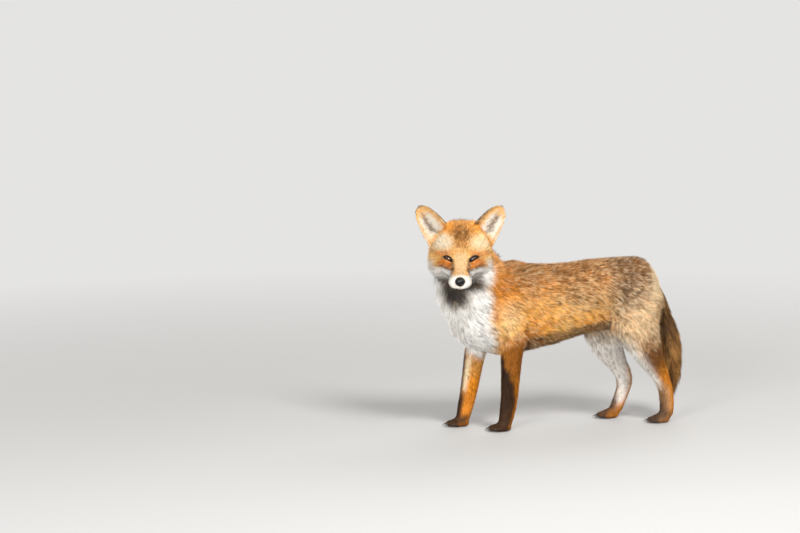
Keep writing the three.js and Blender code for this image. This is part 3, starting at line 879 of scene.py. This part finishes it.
tint, tipTint = np.zeros((skinCount, 3)), np.zeros((skinCount, 3))
paleShare, deepShare = np.zeros(skinCount), np.zeros(skinCount)
for number, part in enumerate(fleshParts):
    on = np.where(ownerOf == number)[0]
    tint[on], tipTint[on], paleShare[on], deepShare[on] = marks(outer[on], normal[on], part)
keepTint = np.where((inHead & (hf > -40)) | isEar, 0.8, 0.0)
tint = np.clip(spread(tint, 8, hold=keepTint), 0, 0.97)
tipTint = spread(tipTint, 6)
paleShare, deepShare = spread(paleShare, 8), spread(deepShare, 8)
print("markings laid")


def newMaterial(name, base, rough, **sockets):
    mat = bpy.data.materials.new(name)
    mat.use_nodes = True
    skin = mat.node_tree.nodes["Principled BSDF"]
    for socket, value in {"Base Color": (*base, 1), "Roughness": rough, **sockets}.items():
        skin.inputs[socket.replace("_", " ")].default_value = value
    return mat, mat.node_tree, skin


def tintNode(tree):
    node = addNode(tree, "Attribute")
    node.attribute_name = "tint"
    return node


def coatMaterial(name, rough, grain, gain, gloss=0.16):  # each point's colour with a fine grain in it
    mat, tree, skin = newMaterial(name, (0.5, 0.35, 0.2), rough, Specular_IOR_Level=gloss)
    hue, at, times = tintNode(tree), addNode(tree, "TexCoord"), addNode(tree, "VectorMath")
    times.operation = "SCALE"
    unrest = addNode(tree, "TexNoise", Scale=grain, Detail=3.0)
    bump = addNode(tree, "Bump", Strength=0.25, Distance=0.0004)
    level = addNode(tree, "MapRange", From_Min=0.3, From_Max=0.7, To_Min=1 - gain, To_Max=1 + gain)
    wire(tree, (at, "Object", unrest, "Vector"), (unrest, 0, bump, "Height"), (unrest, 0, level, "Value"))
    wire(tree, (hue, "Color", times, 0), (level, 0, times, "Scale"))
    wire(tree, (bump, "Normal", skin, "Normal"), (times, "Vector", skin, "Base Color"))
    return mat


furMaterial = coatMaterial("fox fur", 0.58, 420, 0.10)
skinMaterial = coatMaterial("skin under the fur", 0.8, 900, 0.22)


def setTint(mesh, colours):  # one colour for each point
    layer = mesh.color_attributes.new("tint", "FLOAT_COLOR", "POINT")
    full = np.ones((len(mesh.vertices), 4), np.float32)
    full[:, :3] = colours
    layer.data.foreach_set("color", full.ravel())


def putPiece(name, mesh, material):
    mesh.materials.append(material)
    made = newObject(name, mesh)
    bpy.context.view_layer.update()
    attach(made, "root")
    return made


def meshFrom(name, points, faces):
    mesh = bpy.data.meshes.new(name)
    mesh.vertices.add(len(points))
    putPoints(mesh, points)
    mesh.loops.add(faces.size)
    mesh.loops.foreach_set("vertex_index", faces.astype(np.int32).ravel())
    mesh.polygons.add(len(faces))
    mesh.polygons.foreach_set("loop_start", np.arange(0, faces.size, faces.shape[1], dtype=np.int32))
    mesh.polygons.foreach_set("use_smooth", np.ones(len(faces), bool))
    mesh.update(calc_edges=True)
    mesh.validate()
    return mesh


putPoints(skinMesh, skinAt)
skinMesh.update()
skinMesh.name = "skin"
setTint(skinMesh, tint * 0.78)  # darker than the hair over it
skin = putPiece("skin", skinMesh, skinMaterial)
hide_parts(*fleshParts)

skinMesh.calc_loop_triangles()
tris = fetch(skinMesh.loop_triangles, "vertices", 3, np.int32)
sideA = skinAt[tris[:, 1]] - skinAt[tris[:, 0]]
sideB = skinAt[tris[:, 2]] - skinAt[tris[:, 0]]
triArea = np.linalg.norm(np.cross(sideA, sideB), axis=1) / 2 * 1e4  # in square cm
triOwner = ownerOf[tris[:, 0]]

coatMake = {
    "soles": 7.0, "floor": 0.0004,  # mm of bare sole, lowest hair in m
    "short": 11.5,  # mm of hair that still counts as face
    "stand": 1.55, "sag": 0.10,  # how far above the outline a tuft may stand, how much it hangs
    "soft": 0.8, "round": 0.5,  # shading by the lie of the coat and by the tuft's own roundness
    "tone": 0.19, "root": 0.66, "tip": 1.08,  # spread of brightness, and how bright roots and tips are
    "paleTip": 0.85, "paleBand": 0.9, "deepTip": 0.2, "deepBand": 0.6,
}
bodyClump = {"size": 7, "pull": 0.45, "reach": 6, "tone": 0.31, "alike": 0.84}
faceClump = {"size": 8, "pull": 0.35, "reach": 4, "tone": 0.21, "alike": 0.76}


def spikeFaces(rings, count):
    faces = []
    for a in range(rings * 3 - 3):
        b = a + 1 if a % 3 < 2 else a - 2
        faces += [(a, b, b + 3), (a, b + 3, a + 3)]
    top = rings * 3
    for j in range(3):
        faces.append((top - 3 + j, top - 3 + (j + 1) % 3, top))
    return (np.array(faces)[None] + (np.arange(count) * (top + 1))[:, None, None]).reshape(-1, 3)


def growTufts(keepTri, slot, wrap, clump, rings, share, longer):
    picks = np.where(keepTri & ~soleTri)[0]
    wish = triArea[picks] * field["thick"][tris[picks]].mean(1) * (share * thin)
    count = int(wish.sum())
    chosen = picks[dice.choice(len(picks), count, p=wish / wish.sum())]
    u, v = dice.random(count), dice.random(count)
    over = u + v > 1
    u[over], v[over] = 1 - u[over], 1 - v[over]
    weights = np.stack([1 - u - v, u, v], -1)
    corner = tris[chosen]

    def here(values):
        w = values[corner]
        return (w * (weights if w.ndim == 2 else weights[:, :, None])).sum(1)

    root, up, flow = here(skinAt), unit(here(skinNormal)), here(way)
    flow = unit(flow - up * np.einsum("ij,ij->i", flow, up)[:, None])
    stray = np.radians(here(field["stray"])) * dice.normal(0, 1, count)
    flow = flow * np.cos(stray)[:, None] + np.cross(up, flow) * np.sin(stray)[:, None]
    sideways = np.cross(up, flow)
    long = here(field["length"]) / 1000 * dice.uniform(0.72, 1.14, count) * longer
    wide = here(field["width"]) / 1000 * dice.uniform(0.75, 1.25, count)
    lift = np.radians(here(field["lift"])) * dice.uniform(0.7, 1.25, count)
    # a tuft never stands much higher than the outline over it
    deep = np.maximum(here(depth), 0.0008)
    deep = deep + 0.0035 * here(mane) + 0.005 * here(cheek)
    lift = np.minimum(lift, np.arcsin(np.clip(deep * coatMake["stand"] / long, 0.06, 0.9)))

    def axisAt(t, i=slice(None)):
        rise = long[i] * np.sin(lift[i]) * t * (1.28 - 0.42 * t)
        run = long[i] * np.cos(lift[i]) * t
        p = root[i] + flow[i] * run[:, None] + up[i] * rise[:, None]
        p[:, 2] -= coatMake["sag"] * long[i] * t * t * (1 - np.abs(up[i][:, 2]))
        return p

    # tufts draw together towards the nearest leading one, and take after its colour
    tone, luck = dice.normal(0, coatMake["tone"], count), dice.random(count)
    leaders = dice.choice(count, max(count // clump["size"], 1), replace=False)
    tree = KDTree(len(leaders))
    for k, i in enumerate(leaders):
        tree.insert(root[i], k)
    tree.balance()
    own = leaders[np.array([tree.find(p)[1] for p in root])]
    far = np.linalg.norm(root[own] - root, axis=1)
    strong = clump["pull"] * ease(clump["reach"], clump["reach"] * 0.4, far * 1000)
    pull = (axisAt(1.0, own) - axisAt(1.0)) * (strong * dice.uniform(0.6, 1.1, count))[:, None]
    leadTone = dice.normal(0, clump["tone"], count)[own]
    luck = np.where(dice.random(count) < clump["alike"], luck[own], luck)
    base = here(tint) * (1 + tone + leadTone)[:, None]
    tipColour, bandColour = base * coatMake["tip"], base.copy()
    isPale, isDeep = luck < here(paleShare), luck > 1 - here(deepShare)
    tipColour[isPale] = mix(base, here(tipTint), coatMake["paleTip"])[isPale]
    bandColour[isPale] = base[isPale] * coatMake["paleBand"]
    tipColour[isDeep] = base[isDeep] * coatMake["deepTip"]
    bandColour[isDeep] = base[isDeep] * coatMake["deepBand"]

    points, shine, shades = np.empty((3, count, rings * 3 + 1, 3))
    for r in range(rings):
        t = r / rings
        centre = axisAt(t) + pull * t**1.4 - up * (0.0006 if r == 0 else 0)
        girth = wide * (1.0, 0.86)[r] / 2
        for j in range(3):
            a = math.pi / 2 + j * math.tau / 3
            offset = sideways * (math.cos(a) * girth)[:, None] + up * (math.sin(a) * 0.55 * girth)[:, None]
            points[:, r * 3 + j] = centre + offset
            shine[:, r * 3 + j] = up * coatMake["soft"] + unit(offset) * coatMake["round"]
            shades[:, r * 3 + j] = base * coatMake["root"] if r == 0 else bandColour
    points[:, -1], shades[:, -1], shine[:, -1] = axisAt(1.0) + pull, tipColour, up + flow * 0.3
    points[..., 2] = np.maximum(points[..., 2], coatMake["floor"])
    keep = np.ones(count, bool)
    for at in (points[:, -1], (points[:, 0] + points[:, -1]) / 2, points[:, 0]):
        for side in sides:  # nothing hangs over the open eye
            q = inEye(at, side)
            keep &= ~((pigment(q * [1.02, 1.12, 1]) > 0.5) & (q[:, 2] > -11) & (q[:, 2] < 20))
        if slot != "coat_cream":  # nor over the mouth
            h = toHead(at)
            gap = np.abs(h[:, 2] - mouthHeight(h[:, 0]))
            keep &= ~((gap < 1.3) & (h[:, 0] > 9) & (h[:, 0] < 84) & (np.abs(h[:, 1]) < 46))
    points, shades, root, shine = points[keep], shades[keep], root[keep], unit(shine[keep])
    # each tuft is a small patch where its root lies on the unrolled skin
    turnAxis, middle = wrap
    turnAxis = unit(turnAxis)
    firstWay = unit(np.cross(turnAxis, [0.31, 0.17, 0.93]))
    q = root - middle
    angle = np.arctan2(q @ np.cross(turnAxis, firstWay), q @ firstWay) / math.tau + 0.5
    height = q @ turnAxis
    height = (height - height.min()) / max(np.ptp(height), 1e-6)
    spotAt = np.stack([0.004 + angle * 0.992, 0.004 + height * 0.992], -1)
    patch = [((j - 1) * 0.0015, -0.0015 + 0.0030 * r / rings) for r in range(rings) for j in range(3)]
    uv = spotAt[:, None] + np.array(patch + [(0, 0.0015)])[None]
    flat = [x.reshape(-1, x.shape[-1]) for x in (points, shades, shine, uv)]
    return flat + [spikeFaces(rings, len(points))]


def makeCoat(name, keepTri, layers, slot, wrap, clump):
    grown = [growTufts(keepTri, slot, wrap, clump, *layer) for layer in layers]
    start = np.cumsum([0] + [len(g[0]) for g in grown])
    points, shades, shine, uv = [np.concatenate([g[k] for g in grown]) for k in range(4)]
    faces = np.concatenate([g[4] + at for g, at in zip(grown, start)])
    mesh = meshFrom(name, points, faces)
    setTint(mesh, np.clip(shades, 0.002, 0.97))
    layer = mesh.uv_layers.new(name="OFBake")
    layer.data.foreach_set("uv", uv[faces.ravel()].astype(np.float32).ravel())
    mesh.normals_split_custom_set_from_vertices(shine.astype(np.float32))
    putPiece(name, mesh, furMaterial)
    print(name, len(faces), "triangles")


def owned(*parts):
    return np.isin(triOwner, [i for i, p in enumerate(fleshParts) if p in parts])


def limbWrap(part):
    return bodyWay(0, 0, 1), centreOf(part)


thin = 1.0
bodyWrap = (bodyWay(1, 0, 0), fromBody(0, 0, 262))
headWrap = (headFront, fromHead(-30, 0, -20))
triHead, triChest, triTail = owned("head", "lower_jaw"), owned("chest"), owned("tail_upper", "tail_lower")
leftTri = skinBody[tris[:, 0], 1] > 0
soleTri = (skinBody[tris[:, 0], 2] < coatMake["soles"]) & (skinNormal[tris[:, 0], 2] < -0.35)
shortFace = field["length"][tris].mean(1) < coatMake["short"]
fine = [(1, 1.0, 1.0)]  # layers: rings along the tuft, share of the tufts, how much longer
full = [(1, 1.0, 0.95), (2, 0.15, 1.2)]
cheeks = [(1, 1.0, 0.95), (2, 0.18, 1.2)]
ruffs = [(1, 1.0, 0.95), (2, 0.22, 1.15)]
brush = [(1, 1.0, 0.9), (2, 0.35, 1.1)]
coatPieces = [
    ("coat_face", triHead & shortFace, fine, "coat_russet", headWrap, faceClump),
    ("coat_cheeks", triHead & ~shortFace, cheeks, "coat_white", headWrap, bodyClump),
    ("coat_neck", owned("neck"), ruffs, "coat_white", bodyWrap, bodyClump),
    ("coat_chest_left", triChest & leftTri, full, "coat_russet", bodyWrap, bodyClump),
    ("coat_chest_right", triChest & ~leftTri, full, "coat_russet", bodyWrap, bodyClump),
    ("coat_belly", owned("belly"), full, "coat_russet", bodyWrap, bodyClump),
    ("coat_hips", owned("hips"), full, "coat_grizzled", bodyWrap, bodyClump),
    ("coat_tail", triTail, brush, "coat_grizzled", limbWrap("tail_upper"), bodyClump),
]
for side in sides:
    ear, foreleg, thigh, hindleg = (part + side for part in ("ear_", "forearm_", "thigh_", "hindfoot_"))
    earWrap = (earWay[side], centreOf(ear))
    foreTri, hindTri = owned(foreleg, "forefoot_" + side), owned("shank_" + side, hindleg)
    coatPieces += [
        ("coat_ear_" + side, owned(ear), fine, "coat_cream", earWrap, faceClump),
        ("coat_foreleg_" + side, foreTri, fine, "coat_dark", limbWrap(foreleg), faceClump),
        ("coat_thigh_" + side, owned(thigh), full, "coat_grizzled", limbWrap(thigh), bodyClump),
        ("coat_hindleg_" + side, hindTri, fine, "coat_russet", limbWrap(hindleg), faceClump),
    ]
for piece in coatPieces:
    makeCoat(*piece)
print("coat grown")


def gridMesh(name, points):  # rows of points, each row a ring
    rows, ringSize = points.shape[:2]
    faces = []
    for r in range(rows - 1):
        for j in range(ringSize):
            a, b = r * ringSize + j, r * ringSize + (j + 1) % ringSize
            faces.append((a, b, b + ringSize, a + ringSize))
    return meshFrom(name, points.reshape(-1, 3), np.array(faces))


def makeEye(side):
    turn = np.linspace(0, math.tau, eyeMake["facets"], endpoint=False)
    polar = np.linspace(0.02, 1, eyeMake["rows"]) ** 1.5 * math.pi
    r = eyeMake["radius"] + 0.55 * bell(polar / 0.55)  # the cornea's swell
    x = r[:, None] * np.sin(polar)[:, None] * np.cos(turn)[None]
    y = r[:, None] * np.sin(polar)[:, None] * np.sin(turn)[None]
    z = np.repeat((r * np.cos(polar))[:, None], len(turn), 1)
    mesh = gridMesh("eyeball_" + side, fromEye(np.stack([x, y, z], -1), side))
    # the pupil stands upright whatever the slit's slant
    px = x * math.cos(slant) - y * math.sin(slant)
    py = x * math.sin(slant) + y * math.cos(slant)
    ring = np.hypot(px, py) / eyeMake["iris"]
    fibre = np.sin(np.arctan2(py, px) * 31 + ring * 5) * 0.5 + np.sin(np.arctan2(py, px) * 57) * 0.5
    colour = linear(*eyeMake["amber"]) * (1 + 0.16 * fibre[..., None] * ease(0.2, 0.7, ring)[..., None])
    colour = colour * (1.0 - 0.7 * ease(0.35, 0.95, ring))[..., None]
    colour = np.where((ring > 1)[..., None], linear(*eyeMake["sclera"]), colour)
    pupil = np.hypot(px / eyeMake["pupil"][0], py / eyeMake["pupil"][1])
    colour = colour * ease(0.85, 1.1, pupil)[..., None] + 0.004
    colour = np.where((z > 0)[..., None], colour, linear(*eyeMake["back"]))
    setTint(mesh, colour.reshape(-1, 3))
    ball = putPiece("eyeball_" + side, mesh, eyeMaterial)
    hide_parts("eye_" + side)


lidMake = {
    "facets": 144, "thick": 0.0004,
    # share of the way from the slit to the edge, and how far the lid stands off the ball
    "profile": [
        (-0.04, -0.5), (-0.01, 0.15), (0.03, 0.6), (0.10, 0.95), (0.22, 1.1), (0.42, 1.15), (0.64, 1.1),
        (0.82, 0.9), (1.0, 0.2),
    ],
}


def makeLids(side):
    turn = np.linspace(0, math.tau, lidMake["facets"], endpoint=False)
    c, s = np.cos(turn), np.sin(turn)
    slit = np.sign(s) * np.abs(s) ** 1.25 * np.where(s > 0, eyeMake["upper"], eyeMake["lower"])
    inward = Vector(-eyeFrame[side][2])
    rows = []
    for share, stand in lidMake["profile"]:
        part = max(share, 0)
        x = c * (eyeMake["half"] + (eyeMake["lidHalf"] + 0.8 - eyeMake["half"]) * part)
        y = slit * (1 - part) * (1 - 0.3 * min(share, 0)) + s * (eyeMake["lidHigh"] + 1.0) * part
        y = y - 0.012 * x**2 * ease(0.1, 0.8, share)
        ball = np.sqrt(np.maximum((eyeMake["radius"] + stand) ** 2 - x**2 - y**2, 0.5))
        face = ball.copy()
        for k in range(len(turn)):
            hit = faceTree.ray_cast(Vector(fromEye(np.array([x[k], y[k], 30.0]), side)), inward, 0.05)
            if hit[0] is not None:
                face[k] = inEye(np.array(hit[0]), side)[2]
        lie = np.maximum(ease(0.62, 0.98, np.abs(c)) * ease(-0.02, 0.2, share), ease(0.5, 1.0, share))
        z = ball * (1 - lie) + (face + 0.35 - 1.1 * ease(0.75, 1.0, share)) * lie
        z = np.where(share > 0.2, np.maximum(z, face + 0.3 - 1.1 * ease(0.75, 1.0, share)), z)
        rows.append(np.stack([x, y, z], -1))
    rows = np.array(rows)
    mesh = gridMesh("eyelids_" + side, fromEye(rows, side))
    black = pigment(rows)
    black[:4] = 1
    setTint(mesh, mix(np.tile(paint["rust"] * 0.7, (black.size, 1)), paint["black"] * 0.35, black.ravel()))
    lids = putPiece("eyelids_" + side, mesh, lidMaterial)
    thick = lids.modifiers.new("thickness", "SOLIDIFY")
    thick.thickness = lidMake["thick"]
    thick.offset = -1


eyeMaterial, eyeTree, eyeSkin = newMaterial(
    "eye", (0.3, 0.2, 0.1), 0.35, Coat_Weight=1.0, Coat_Roughness=0.03, Specular_IOR_Level=0.15
)
wire(eyeTree, (tintNode(eyeTree), "Color", eyeSkin, "Base Color"))
lidMaterial = coatMaterial("eyelid", 0.5, 700, 0.25)
for side in sides:
    makeEye(side)
    makeLids(side)

noseMake = {
    "forward": 79, "up": -23.2, "size": (11.8, 11.0, 10.2), "rows": 90, "facets": 128,
    "colour": (0.006, 0.005, 0.005),
}


def makeNose():
    polar = np.linspace(0.001, math.pi - 0.001, noseMake["rows"])
    turn = np.linspace(0, math.tau, noseMake["facets"], endpoint=False)
    x = np.repeat(np.cos(polar)[:, None], len(turn), 1)
    y = np.sin(polar)[:, None] * np.cos(turn)[None]
    z = np.sin(polar)[:, None] * np.sin(turn)[None]
    a = np.abs(y)
    nostril = bell((a - 0.46) / 0.17, (z + 0.02 - 0.25 * (a - 0.46)) / 0.19) * (x > 0)
    slit = bell((z + 0.20 + 0.25 * (a - 0.62)) / 0.09) * ease(0.5, 0.62, a) * (x > -0.2)
    philtrum = bell(y / 0.07) * ease(0.25, -0.2, z) * (x > 0)
    push = 1 - 0.42 * nostril - 0.16 * slit - 0.10 * philtrum
    flat = 1 - 0.10 * ease(0.75, 1.0, x)
    narrow = 1 - 0.16 * ease(-0.1, -0.9, z)
    sx, sy, sz = noseMake["size"]
    local = np.stack([x * sx * push * flat, y * sy * push * narrow, z * sz * push], -1)
    at = fromHead(noseMake["forward"], 0, noseMake["up"])
    mesh = gridMesh("nose_pad", at + local @ np.array([headFront, headSide, headUp]) / 1000)
    # painted shade: the nostrils and the slits below them are painted darker than the rest of the leather
    dim = 1 - 0.8 * np.clip(nostril + 0.5 * slit, 0, 1)
    setTint(mesh, (np.array(noseMake["colour"])[None, None] * dim[..., None]).reshape(-1, 3))
    pad = putPiece("nose_pad", mesh, coatMaterial("nose leather", 0.3, 1500, 0.3, gloss=0.3))
    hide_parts("nose")


makeNose()
skinTree = BVHTree.FromPolygons([Vector(p) for p in skinAt], [list(t) for t in tris[triHead]])


def onFace(forward, sign, up):  # where the skin lies on one side of the face
    return skinTree.ray_cast(Vector(fromHead(forward, sign * 60, up)), Vector(-headSide * sign), 0.06)


def tubeMesh(name, lines, facets=6):  # each line: points and radii
    allPoints, allFaces, start = [], [], 0
    for points, radii in lines:
        tangent = unit(np.gradient(points, axis=0))
        first = unit(np.cross(tangent, np.array([0.13, 0.31, 0.94])))
        second = np.cross(tangent, first)
        a = np.linspace(0, math.tau, facets, endpoint=False)
        ring = first[:, None] * np.cos(a)[None, :, None] + second[:, None] * np.sin(a)[None, :, None]
        allPoints.append((points[:, None] + ring * radii[:, None, None]).reshape(-1, 3))
        for r in range(start, start + (len(points) - 1) * facets, facets):
            for j in range(facets):
                a, b = r + j, r + (j + 1) % facets
                allFaces += [(a, b, b + facets), (a, b + facets, a + facets)]
        start += len(points) * facets
    return meshFrom(name, np.concatenate(allPoints), np.array(allFaces))


lipMake = {"along": (4, 80, 26), "radius": 0.0012, "end": 0.0002, "out": 0.0003}


def makeLips():
    lines = []
    steps = np.linspace(*lipMake["along"])
    for sign in sides.values():
        hits = [onFace(forward, sign, mouthHeight(forward)) for forward in steps]
        half = [np.array(hit[0]) + np.array(hit[1]) * lipMake["out"] for hit in hits if hit[0] is not None]
        radii = lipMake["radius"] * ease(0, 4, np.arange(len(half))) + lipMake["end"]
        lines.append((np.array(half), radii))
    mesh = tubeMesh("lips", lines)
    setTint(mesh, paint["black"] * 0.7)
    putPiece("lips", mesh, lidMaterial)


whiskerMake = {  # in mm; the first one's place, and the steps between them
    "rows": 3, "each": 4, "length": (34, 58), "radius": 0.17,
    "forward": 64, "back": 5.5, "up": -24, "down": 3.2,
}


def makeWhiskers():
    hairs = np.random.default_rng(5)
    make, lines = whiskerMake, []
    for sign in sides.values():
        for row in range(make["rows"]):
            for k in range(make["each"]):
                forward = make["forward"] - k * make["back"] + hairs.uniform(-1, 1)
                hit = onFace(forward, sign, make["up"] - row * make["down"] + hairs.uniform(-0.6, 0.6))
                if hit[0] is None:
                    continue
                length = hairs.uniform(*make["length"])
                out = unit(headSide * sign - headFront * (0.25 + 0.14 * k) + headUp * (0.22 - 0.2 * row))
                curl = unit(-headFront * 0.8 - headUp * 0.9)
                t = np.linspace(0, 1, 9)
                bend = out[None] * t[:, None] + curl[None] * 0.32 * t[:, None] ** 2
                radii = make["radius"] / 1000 * (1 - 0.9 * t)
                lines.append((np.array(hit[0]) + bend * length / 1000, radii))
    mesh = tubeMesh("whiskers", lines, 4)
    setTint(mesh, paint["black"])
    putPiece("whiskers", mesh, coatMaterial("whisker", 0.35, 300, 0.2))


clawMake = {"each": 4, "colour": (0.24, 0.20, 0.17), "smooth": 2}


def makeClaws(foot, side):
    name = f"claws_{foot}_{side}"
    names = [f"claw_{foot}_{side}_{k}" for k in range(1, clawMake["each"] + 1)]
    bm = bmesh.new()
    for solid in names:
        bm.from_mesh(nodes[solid].data)
    bmesh.ops.remove_doubles(bm, verts=bm.verts, dist=1e-6)
    mesh = bpy.data.meshes.new(name)
    bm.to_mesh(mesh)
    bm.free()
    for p in mesh.polygons:
        p.use_smooth = True
    setTint(mesh, linear(*clawMake["colour"]))
    claws = putPiece(name, mesh, clawMaterial)
    rounder = claws.modifiers.new("rounder", "SUBSURF")
    rounder.levels = rounder.render_levels = clawMake["smooth"]
    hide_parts(*names)


makeLips()
makeWhiskers()
clawMaterial = coatMaterial("claw horn", 0.38, 800, 0.3)
for foot in ("fore", "hind"):
    for side in sides:
        makeClaws(foot, side)
print("eyes, nose, lips, whiskers and claws made")
